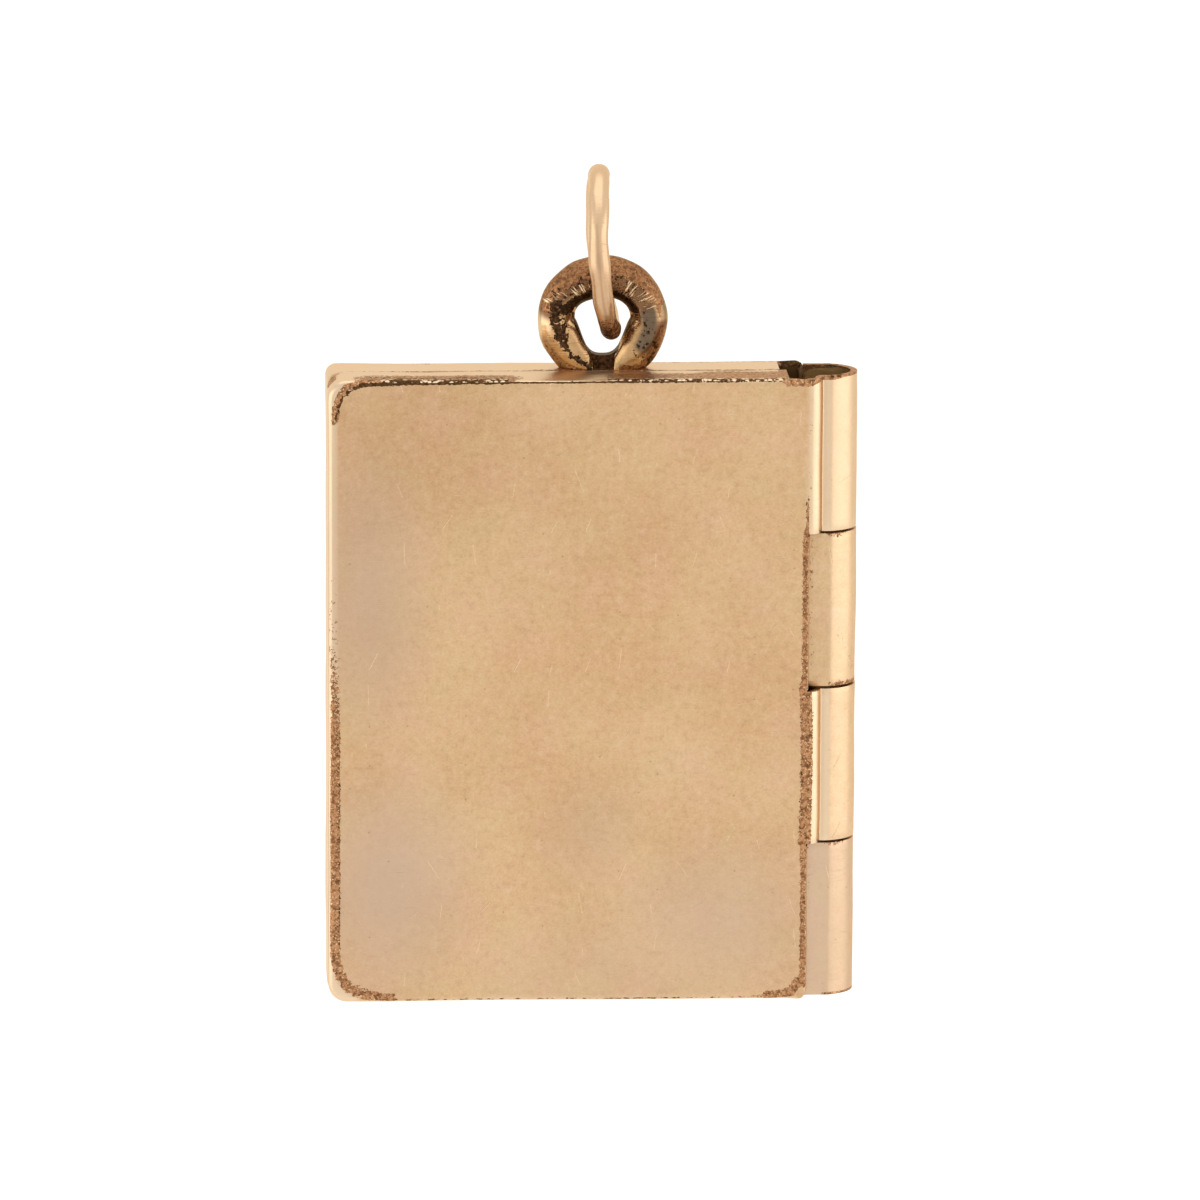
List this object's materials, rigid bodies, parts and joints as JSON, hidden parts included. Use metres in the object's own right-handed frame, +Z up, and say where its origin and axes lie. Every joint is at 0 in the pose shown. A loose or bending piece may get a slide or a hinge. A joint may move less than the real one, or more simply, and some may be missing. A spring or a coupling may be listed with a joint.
{
  "type": "book locket",
  "caption": "Small book-shaped locket of rolled gold-filled sheet with a knuckled spine hinge, a soldered ring bail and an open jump ring.",
  "frame": {"origin": "inside top of the jump ring, where a chain or hook holds the locket", "axes": "+Z up along the hanging locket, +X from the open edge to the spine, +Y from the front cover to the back cover"},
  "size_m": [0.0212, 0.007, 0.0335],
  "materials": {
    "cover_gold": "rolled gold on brass, satin with age, worn to copper brown along the edges",
    "pin_brass": "drawn brass, dark with age",
    "ring_gold": "drawn gold-filled wire, satin"
  },
  "bodies": {
    "ring": {"jump_ring": "ring_gold"},
    "back": {"back_cover": "cover_gold", "hinge_pin": "pin_brass"},
    "front": {"front_cover": "cover_gold"}
  },
  "joints": [
    {"name": "locket_swing", "type": "hinge", "parent": "ring", "child": "back", "pos_m": [0, 0, -0.0027], "axis": [1, 0, 0], "range_deg": [-60, 60]},
    {"name": "cover_hinge", "type": "hinge", "parent": "back", "child": "front", "pos_m": [0.00882, -0.00085, -0.02001], "axis": [0, 0, 1], "range_deg": [0, 180]}
  ]
}
